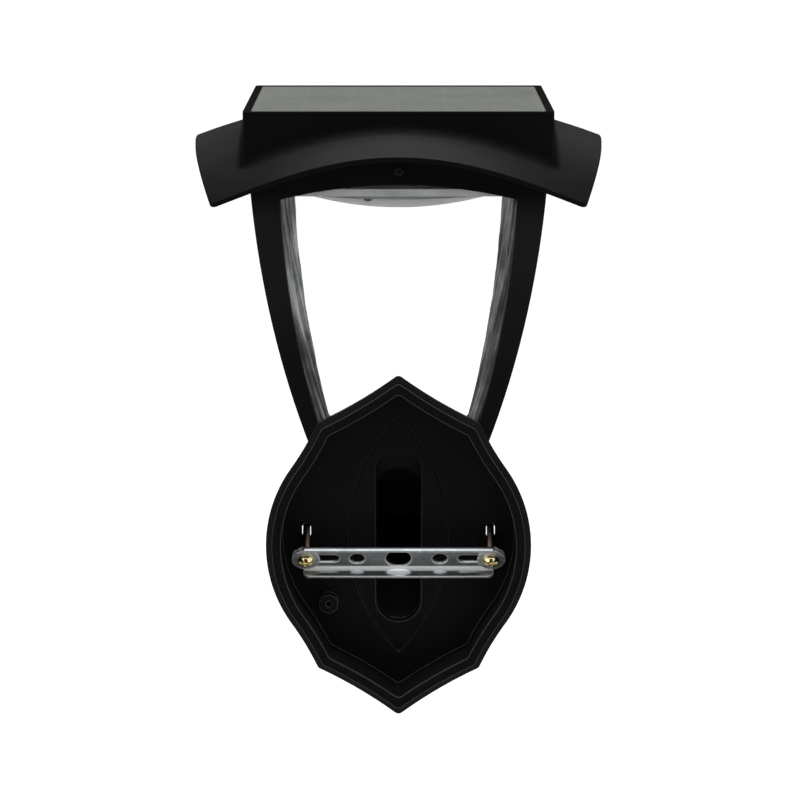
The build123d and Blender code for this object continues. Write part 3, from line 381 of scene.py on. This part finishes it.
def foam_rubber(name):
    """Foam strip with pores, greyer along its cut edges as painted highlights."""
    material, tree, shader = make_material(name)
    at = place(tree)
    normal = rounded_normal(tree, FOAM_EDGE)
    pores = cells(tree, at, scale=900.0, output="Distance")
    body = ramp(tree, pores, [(0.0, 0.002), (0.5, 0.006)])
    wire(
        tree,
        shader,
        # cut edges painted grey as highlights
        Base_Color=mix_colour(tree, edge_mask(tree, normal), body, grey(0.16)),
        Roughness=spread(tree, noise(tree, at, scale=200.0), 0.75, 0.95),
        Specular_IOR_Level=0.05,
        Normal=bump(tree, pores, strength=0.5, distance=0.2 * MM, normal=normal),
    )
    return material


def inside_posts(tree, level, off_axis):
    """Distance inwards from the curved outer edge of the posts."""
    below = math_node(tree, "SUBTRACT", CURVE_LEVEL, level)
    squares = math_node(tree, "SUBTRACT", POST_R**2, math_node(tree, "POWER", below, 2.0))
    half = math_node(tree, "ADD", math_node(tree, "SQRT", squares), LANTERN_HALF - POST_R)
    return math_node(tree, "SUBTRACT", half, math_node(tree, "ABSOLUTE", off_axis))


def ground_border(tree, level, inwards, patches, past_foot, past_top):
    """1 on the ground border of a pane, which reaches past the posts, and 0 on its clear middle."""
    foot = POST_LEG_FOOT + past_foot
    slope = (POST_LEG_TOP + past_top - foot) / (WINDOW_HIGH - WINDOW_LOW)
    reach = math_node(tree, "MULTIPLY", level, slope)
    reach = math_node(tree, "ADD", reach, foot - slope * WINDOW_LOW)
    past = math_node(tree, "SUBTRACT", inwards, reach)
    return graded(tree, weighted(tree, past, 1.0, patches, BORDER_RAGGED), *BORDER_EDGE)


def pane_glass(name, across, past_foot, past_top):
    """Clear drawn glass with streaky grey ground borders.

    across: axis that the pane spans
    past_foot, past_top: reach of the borders past the posts, at the foot and the top
    """
    material, tree, shader = make_material(name)
    split = add(tree, "ShaderNodeSeparateXYZ", Vector=place(tree))
    level = split.outputs["Z"]
    off_axis = split.outputs["X"]
    if across == "Y":
        off_axis = math_node(tree, "ADD", split.outputs["Y"], REACH)
    inwards = inside_posts(tree, level, off_axis)
    side = math_node(tree, "SIGN", off_axis)
    slowed = math_node(tree, "MULTIPLY", level, STREAK_SLOWED)
    along = add(tree, "ShaderNodeCombineXYZ", X=inwards, Y=side, Z=slowed).outputs["Vector"]
    streaks = noise(tree, along, scale=520.0, detail=5.0, rough=0.65)
    patches = noise(tree, place(tree, DRAWN_GLASS), scale=90.0)
    waves = noise(tree, place(tree, DRAWN_GLASS), scale=35.0, detail=2.0)
    border = ground_border(tree, level, inwards, patches, past_foot, past_top)
    greys = ramp(tree, weighted(tree, streaks, 1.0, patches, PATCH_SHARE), GLASS_GREYS)
    clear = math_node(tree, "SUBTRACT", 1.0, math_node(tree, "MULTIPLY", border, BORDER_OPAQUE))
    wire(
        tree,
        shader,
        Base_Color=mix_colour(tree, border, GLASS_CLEAR, greys),
        Transmission_Weight=clear,
        Roughness=math_node(tree, "MULTIPLY", border, BORDER_ROUGH),
        IOR=GLASS_IOR,
        Normal=bump(tree, waves, strength=0.1, distance=1.0 * MM),
    )
    return material


def solar_cells(name):
    """Grey cells with hair-thin fingers and wider ribbons under a matt laminate."""
    material, tree, shader = make_material(name)
    at = place(tree)
    fingers = math_node(tree, "PINGPONG", coordinate(tree, at, "Y"), FINGER_PITCH / 2)
    ribbons = math_node(tree, "PINGPONG", coordinate(tree, at, "X"), RIBBON_PITCH / 2)
    faint = math_node(tree, "MULTIPLY", graded(tree, fingers, *FINGER_EDGE), FINGER_SHARE)
    silver = math_node(tree, "MAXIMUM", faint, graded(tree, ribbons, *RIBBON_EDGE))
    crystal = cells(tree, at, scale=130.0, output="Color")
    tint = ramp(tree, crystal, list(zip(CELL_RANGE, (CELL_DARK, CELL_LIGHT))))
    grain = noise(tree, at, scale=2500.0, detail=2.0)
    wire(
        tree,
        shader,
        Base_Color=mix_colour(tree, silver, tint, CELL_SILVER),
        Roughness=spread(tree, noise(tree, at, scale=25.0), 0.32, 0.42),
        Specular_IOR_Level=0.12,
        Normal=bump(tree, grain, strength=0.15, distance=0.1 * MM),
    )
    return material


def bend_highlight_mask(tree, at, bend):
    """1 along a bend that runs in X at the place bend in Y and Z, fading out on both sides; it places
    a painted highlight.
    """
    squares = []
    for axis, middle in zip("YZ", bend):
        off = math_node(tree, "SUBTRACT", coordinate(tree, at, axis), middle)
        squares.append(math_node(tree, "POWER", off, 2.0))
    return graded(tree, math_node(tree, "SQRT", math_node(tree, "ADD", *squares)), *BEND_HIGHLIGHT_EDGE)


def plated(name, light, dark, roughness, spangle, edge_radius, rim=None, bend=None, painted_light_fade=None):
    """Plated steel: crystal spangle, drawn streaks along X and dull blotches.

    rim: width of the painted highlights on cut edges
    bend: Y and Z of a bend of the bar with a painted highlight; the bar's cut edges get painted
    highlights only below BAR_HIGHLIGHT_TOP
    painted_light_fade: places in Y between which the finish goes from painted shadow to lit
    """
    material, tree, shader = make_material(name)
    at = place(tree)
    drawn = noise(tree, place(tree, DRAWN_STEEL), scale=900.0)
    blotch = noise(tree, at, scale=120.0, detail=4.0, rough=0.6)
    colour = spread(tree, weighted(tree, blotch, BLOTCH_SHARE, drawn, DRAWN_SHARE), dark, light)
    metal = 1.0
    # painted shadow: the thread darkens towards the canopy, as in its shade
    if painted_light_fade is not None:
        shade = graded(tree, coordinate(tree, at, "Y"), *painted_light_fade, start=THREAD_SHADOW_TONE, end=1.0)
        colour = scaled(tree, colour, shade)
    # painted highlights on the cut edges, and along the bar's bend
    if rim is not None:
        painted_highlight = edge_mask(tree, rounded_normal(tree, rim))
        if bend is not None:
            lower = math_node(tree, "LESS_THAN", coordinate(tree, at, "Z"), BAR_HIGHLIGHT_TOP)
            painted_highlight = math_node(tree, "MULTIPLY", painted_highlight, lower)
            painted_highlight = math_node(tree, "MAXIMUM", painted_highlight, bend_highlight_mask(tree, at, bend))
        colour = mix_colour(tree, painted_highlight, colour, RIM_HIGHLIGHT_COLOUR)
        metal = math_node(tree, "SUBTRACT", 1.0, math_node(tree, "MULTIPLY", painted_highlight, RIM_HIGHLIGHT_MATT))
    crystals = cells(tree, at, scale=spangle, output="Color")
    uneven = weighted(tree, crystals, CRYSTAL_SHARE, drawn, 1.0 - CRYSTAL_SHARE)
    rough = [roughness + step for step in METAL_UNEVEN]
    normal = rounded_normal(tree, edge_radius)
    wire(
        tree,
        shader,
        Base_Color=colour,
        Metallic=metal,
        Roughness=ramp(tree, uneven, list(zip(SPANGLE_RANGE, rough))),
        Normal=bump(tree, drawn, strength=0.04, distance=0.1 * MM, normal=normal),
    )
    return material


def frosted(name):
    """Pale translucent lens with faint moulded flow lines."""
    material, tree, shader = make_material(name)
    flow = noise(tree, place(tree, LENS_FLOW), scale=160.0, detail=5.0, rough=0.6)
    wire(
        tree,
        shader,
        Base_Color=spread(tree, flow, LENS_DARK, LENS_LIGHT),
        Roughness=spread(tree, flow, 0.3, 0.45),
        Specular_IOR_Level=0.1,
        Subsurface_Weight=0.15,
        Subsurface_Radius=grey(LENS_DEPTH),
        Normal=bump(tree, flow, strength=0.12, distance=0.3 * MM),
    )
    return material


def moulded(name, base, roughness, specular=0.5):
    """Moulded or lacquered plastic with a fine spark-eroded grain."""
    material, tree, shader = make_material(name)
    at = place(tree)
    cloud = noise(tree, at, scale=70.0, detail=4.0)
    grain = noise(tree, at, scale=2200.0, detail=2.0)
    normal = rounded_normal(tree, PLASTIC_EDGE)
    wire(
        tree,
        shader,
        Base_Color=spread(tree, cloud, *tones(base, PLASTIC_TONES)),
        Roughness=spread(tree, cloud, *(roughness + step for step in PLASTIC_UNEVEN)),
        Specular_IOR_Level=specular,
        Normal=bump(tree, grain, strength=0.2, distance=0.1 * MM, normal=normal),
    )
    return material


def slot_finishes():
    """One material for each slot of the record."""
    return {
        "black_casting": black_coat(
            "black_coat",
            base=(0.0125, 0.0125, 0.013),
            wear_and_highlight=grey(0.16),
            roughness=0.55,
            specular=0.04,
            edge_radius=CASTING_EDGE,
        ),
        "black_screw": black_coat(
            "black_oxide",
            base=(0.014, 0.013, 0.012),
            wear_and_highlight=(0.12, 0.11, 0.10),
            roughness=0.35,
            specular=0.3,
            edge_radius=SCREW_EDGE,
        ),
        "gasket_rubber": foam_rubber("foam_rubber"),
        "pane_glass": pane_glass("pane_glass", "X", past_foot=8.0 * MM, past_top=2.5 * MM),
        "solar_cell": solar_cells("solar_cells"),
        "zinc_steel": plated(
            "bright_zinc",
            light=(0.46, 0.485, 0.495),
            dark=(0.3, 0.325, 0.335),
            roughness=0.33,
            spangle=900.0,
            edge_radius=BAR_EDGE,
        ),
        "yellow_zinc": plated(
            "yellow_zinc",
            light=(0.92, 0.83, 0.5),
            dark=(0.6, 0.46, 0.22),
            roughness=0.2,
            spangle=1500.0,
            edge_radius=0.2 * MM,
        ),
        "diffuser_plastic": frosted("frosted_lens"),
        "white_plastic": moulded("white_plastic", base=(0.72, 0.73, 0.73), roughness=0.45),
        "black_plastic": moulded("black_plastic", base=grey(0.018), roughness=0.5),
        "circuit_board": moulded("solder_mask", base=(0.02, 0.13, 0.05), roughness=0.35),
        "led_emitter": moulded("phosphor", base=(0.85, 0.72, 0.25), roughness=0.4),
        "cell_sleeve": moulded("cell_sleeve", base=(0.04, 0.14, 0.36), roughness=0.3),
        "wire_sleeve": moulded("wire_sleeve", base=(0.35, 0.015, 0.015), roughness=0.4),
    }


def own_finishes():
    """Materials of the pieces that differ from their slot, by node."""
    canopy_coat = black_coat(
        "canopy_coat",
        base=(0.0085, 0.0085, 0.009),
        wear_and_highlight=grey(0.2),
        roughness=0.55,
        specular=0.04,
        edge_radius=CASTING_EDGE,
        painted_light_fade=CANOPY_HIGHLIGHT_FADE,
    )
    side_glass = pane_glass("side_pane_glass", "Y", past_foot=2.0 * MM, past_top=2.5 * MM)
    return {
        "wall_canopy": canopy_coat,
        "bracket_arm": canopy_coat,
        "roof_shell": black_coat(
            "roof_coat",
            base=(0.0262, 0.0262, 0.0278),
            wear_and_highlight=grey(0.05),
            roughness=0.57,
            specular=0.05,
            edge_radius=CASTING_EDGE,
            # painted sheen and shade on the roof by slope
            painted_sheen_by_slope=ROOF_PAINTED_SHEEN,
        ),
        "lantern_frame": black_coat(
            "frame_coat",
            base=(0.0155, 0.0155, 0.016),
            wear_and_highlight=grey(0.16),
            roughness=0.55,
            specular=0.03,
            edge_radius=CASTING_EDGE,
            # painted shade on the frame, deepest under the roof
            painted_shade_by_level=FRAME_PAINTED_SHADE,
        ),
        "rail_screws": black_coat(
            "rail_screw_coat",
            base=grey(0.006),
            wear_and_highlight=grey(0.08),
            roughness=0.4,
            specular=0.1,
            edge_radius=SCREW_EDGE,
        ),
        "crossbar": plated(
            "bar_zinc",
            light=(0.4, 0.425, 0.435),
            dark=(0.25, 0.275, 0.285),
            roughness=0.33,
            spangle=900.0,
            edge_radius=BAR_EDGE,
            rim=1.6 * MM,
            bend=BAR_BEND,
        ),
        "bar_washers": plated(
            "washer_zinc",
            light=(0.8, 0.82, 0.82),
            dark=(0.55, 0.57, 0.57),
            roughness=0.38,
            spangle=900.0,
            edge_radius=SCREW_EDGE,
            rim=1.2 * MM,
        ),
        "ceiling_plate": moulded(
            "plate_plastic",
            base=(0.4, 0.408, 0.414),
            roughness=0.5,
            specular=0.2,
        ),
        "glass_left": side_glass,
        "glass_right": side_glass,
        "glass_front": pane_glass("front_pane_glass", "X", past_foot=1.0 * MM, past_top=3.0 * MM),
    }


def dress():
    """Give every piece of the frame its own finish, or that of its slot."""
    finishes = slot_finishes()
    own = own_finishes()
    for part in frame["record"]["subparts"]:
        piece = NODES[part["node"]]
        piece.data.materials.clear()
        piece.data.materials.append(own.get(part["node"], finishes[part["material_slot"]]))
    return finishes


# Screws of the crossbar
def along_bar_screw(side):
    """From a screw's own frame, head upwards on its seat, to its place on the bar."""
    swung = Matrix.Translation(BAR_PIVOT) @ Matrix.Rotation(math.radians(-DROOP), 4, "X")
    across = Matrix.Translation((side * BAR_SCREW_AT, 0, 0))
    turned = Matrix.Rotation(math.radians(-90), 4, "X")
    return swung @ across @ turned @ Matrix.Translation((0, 0, BAR_SEAT))


def cross_depth(x, y):
    """Depth of the cross recess: deep in the middle, running out along four tapered wings."""
    along = max(abs(x), abs(y))
    aside = min(abs(x), abs(y))
    wing = CROSS_HALF_W * (1.0 - CROSS_TAPER * along / CROSS_REACH)
    wall = min(1.0, max(0.0, (wing - aside) / CROSS_WALL))
    run_out = min(1.0, max(0.0, (CROSS_REACH - along) / CROSS_RUN_OUT))
    return CROSS_DEPTH * wall * run_out


def round_point(r, k):
    """Point k of the points round a screw, at the radius r."""
    return r * math.cos(TURN * k), r * math.sin(TURN * k)


def head_rings():
    """Rings of a pan head from its middle to its rim and down to its seat."""
    rings = []
    for i in range(1, HEAD_RINGS + 1):
        r = HEAD_R * math.sin(HEAD_SWEEP * i / HEAD_RINGS) / math.sin(HEAD_SWEEP)
        crown = HEAD_H * (1.0 - CROWN_DROP * (r / HEAD_R) ** CROWN_POWER)
        circle = [round_point(r, k) for k in range(AROUND)]
        rings.append([(x, y, crown - cross_depth(x, y)) for x, y in circle])
    rings.append([(*round_point(HEAD_R, k), 0.0) for k in range(AROUND)])
    return rings


def thread_rings():
    """Rings of the threaded shank, from the seat down to the tip."""
    rings = []
    steps = int(SHANK_L / THREAD_PITCH * RINGS_PER_PITCH)
    for i in range(steps + 1):
        z = -SHANK_L * i / steps
        ring = []
        for k in range(AROUND):
            phase = (z / THREAD_PITCH + k / AROUND) % 1.0
            r = SHANK_R - THREAD_DEPTH * abs(2.0 * phase - 1.0)
            ring.append((*round_point(r, k), z))
        rings.append(ring)
    return rings


def bar_screws(head_finish, thread_finish):
    """Both crossbar screws as one mesh, shown for the plain ones."""
    head = head_rings()
    rings = head + thread_rings()
    vertices = []
    faces = []
    for side in (-1, 1):
        at = along_bar_screw(side)
        middle = len(vertices)
        first = middle + 1
        last = first + (len(rings) - 1) * AROUND
        tip = last + AROUND
        vertices.append(at @ Vector((0, 0, HEAD_H - CROSS_DEPTH)))
        for ring in rings:
            vertices.extend(at @ Vector(point) for point in ring)
        vertices.append(at @ Vector((0, 0, -SHANK_L)))
        for k in range(AROUND):
            n = (k + 1) % AROUND
            faces.append((middle, first + k, first + n))
            faces.append((tip, last + n, last + k))
            for a in range(first, last, AROUND):
                faces.append((a + k, a + AROUND + k, a + AROUND + n, a + n))
    mesh = bpy.data.meshes.new("bar_screws_threaded")
    mesh.from_pydata(vertices, [], faces)
    mesh.materials.append(head_finish)
    mesh.materials.append(thread_finish)
    mesh.shade_smooth()
    screw_points = len(vertices) // 2
    head_points = 1 + len(head) * AROUND
    for face in mesh.polygons:
        face.material_index = int(min(face.vertices) % screw_points >= head_points)
    screws = bpy.data.objects.new("bar_screws_threaded", mesh)
    bpy.context.scene.collection.objects.link(screws)
    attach(screws, "crossbar")
    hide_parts("bar_screws")


# Stage
def photo_camera(scene):
    camera = bpy.data.objects.new("camera", bpy.data.cameras.new("camera"))
    camera.data.sensor_width = SENSOR_MM
    camera.data.lens = FOCAL_PX / IMAGE_PX * SENSOR_MM
    camera.data.shift_x = (IMAGE_PX / 2 - OBJECT_MIDDLE_PX) / IMAGE_PX
    camera.data.clip_end = CAMERA_SIGHT
    camera.location = CAMERA_AT
    camera.rotation_euler = (math.radians(90 - CAMERA_PITCH), 0, math.radians(180))
    scene.collection.objects.link(camera)
    scene.camera = camera


def seen(tree):
    """1 for what shows directly, in gloss or through glass, and 0 for light that falls on things."""
    path = tree.nodes.new("ShaderNodeLightPath")
    shown = math_node(tree, "MAXIMUM", path.outputs["Is Camera Ray"], path.outputs["Is Glossy Ray"])
    return math_node(tree, "MAXIMUM", shown, path.outputs["Is Transmission Ray"])


def white_world(scene):
    world = bpy.data.worlds.new("studio")
    world.use_nodes = True
    tree = world.node_tree
    extra = math_node(tree, "MULTIPLY", seen(tree), 1.0 - WORLD_FILL)
    strength = math_node(tree, "ADD", extra, WORLD_FILL)
    wire(tree, tree.nodes["Background"], Color=WHITE, Strength=strength)
    scene.world = world


def card(name, corners, material):
    """Flat piece with four corners, put in the scene."""
    mesh = bpy.data.meshes.new(name)
    mesh.from_pydata(corners, [], [(0, 1, 2, 3)])
    mesh.materials.append(material)
    made = bpy.data.objects.new(name, mesh)
    bpy.context.scene.collection.objects.link(made)
    return made


def white_floor():
    material, tree, shader = make_material("floor")
    wire(
        tree,
        shader,
        Base_Color=spread(tree, noise(tree, place(tree), scale=3.0), 0.9, 0.92),
        Roughness=0.9,
        Specular_IOR_Level=0.0,
        Emission_Color=WHITE,
        Emission_Strength=math_node(tree, "MULTIPLY", seen(tree), FLOOR_GLOW),
    )
    sides = ((-1, -1), (1, -1), (1, 1), (-1, 1))
    floor = card("floor", [(x * FLOOR_HALF, y * FLOOR_HALF, FLOOR_Z) for x, y in sides], material)


def flag(y, half, low, high, cloth):
    """Upright dark card across the view, which shows only in the sheen of the light."""
    corners = [(-half, y, low), (half, y, low), (half, y, high), (-half, y, high)]
    made = card("flag", corners, cloth)
    made.visible_camera = False
    made.visible_diffuse = False
    made.visible_transmission = False
    made.visible_shadow = False


def lamp(name, at, target, size, power):
    light = bpy.data.lights.new(name, "AREA")
    light.shape = "RECTANGLE"
    light.size, light.size_y = size
    light.energy = power
    made = bpy.data.objects.new(name, light)
    made.location = at
    made.rotation_euler = (Vector(target) - Vector(at)).to_track_quat("-Z", "Y").to_euler()
    bpy.context.scene.collection.objects.link(made)


def studio():
    scene = bpy.context.scene
    scene.view_settings.view_transform = "Standard"
    photo_camera(scene)
    white_world(scene)
    white_floor()
    cloth = moulded("flag_cloth", base=grey(0.02), roughness=0.9, specular=0.1)
    flag(FLAG_AT, FLAG_HALF, -FLAG_HALF, FLAG_HALF, cloth)
    flag(-FLAG_AT, BACK_FLAG_HALF, FLOOR_Z, BACK_FLAG_TOP, cloth)
    lamp("overhead", OVERHEAD_AT, OVERHEAD_TARGET, OVERHEAD_SIZE, OVERHEAD_POWER)
    lamp("key", KEY_AT, KEY_TARGET, KEY_SIZE, KEY_POWER)


studio()
slot_materials = dress()
thread_zinc = plated(
    "thread_zinc",
    light=(0.6, 0.43, 0.36),
    dark=(0.27, 0.15, 0.12),
    roughness=0.35,
    spangle=1500.0,
    edge_radius=0.1 * MM,
    painted_light_fade=THREAD_SHADOW_FADE,
)
bar_screws(slot_materials["yellow_zinc"], thread_zinc)
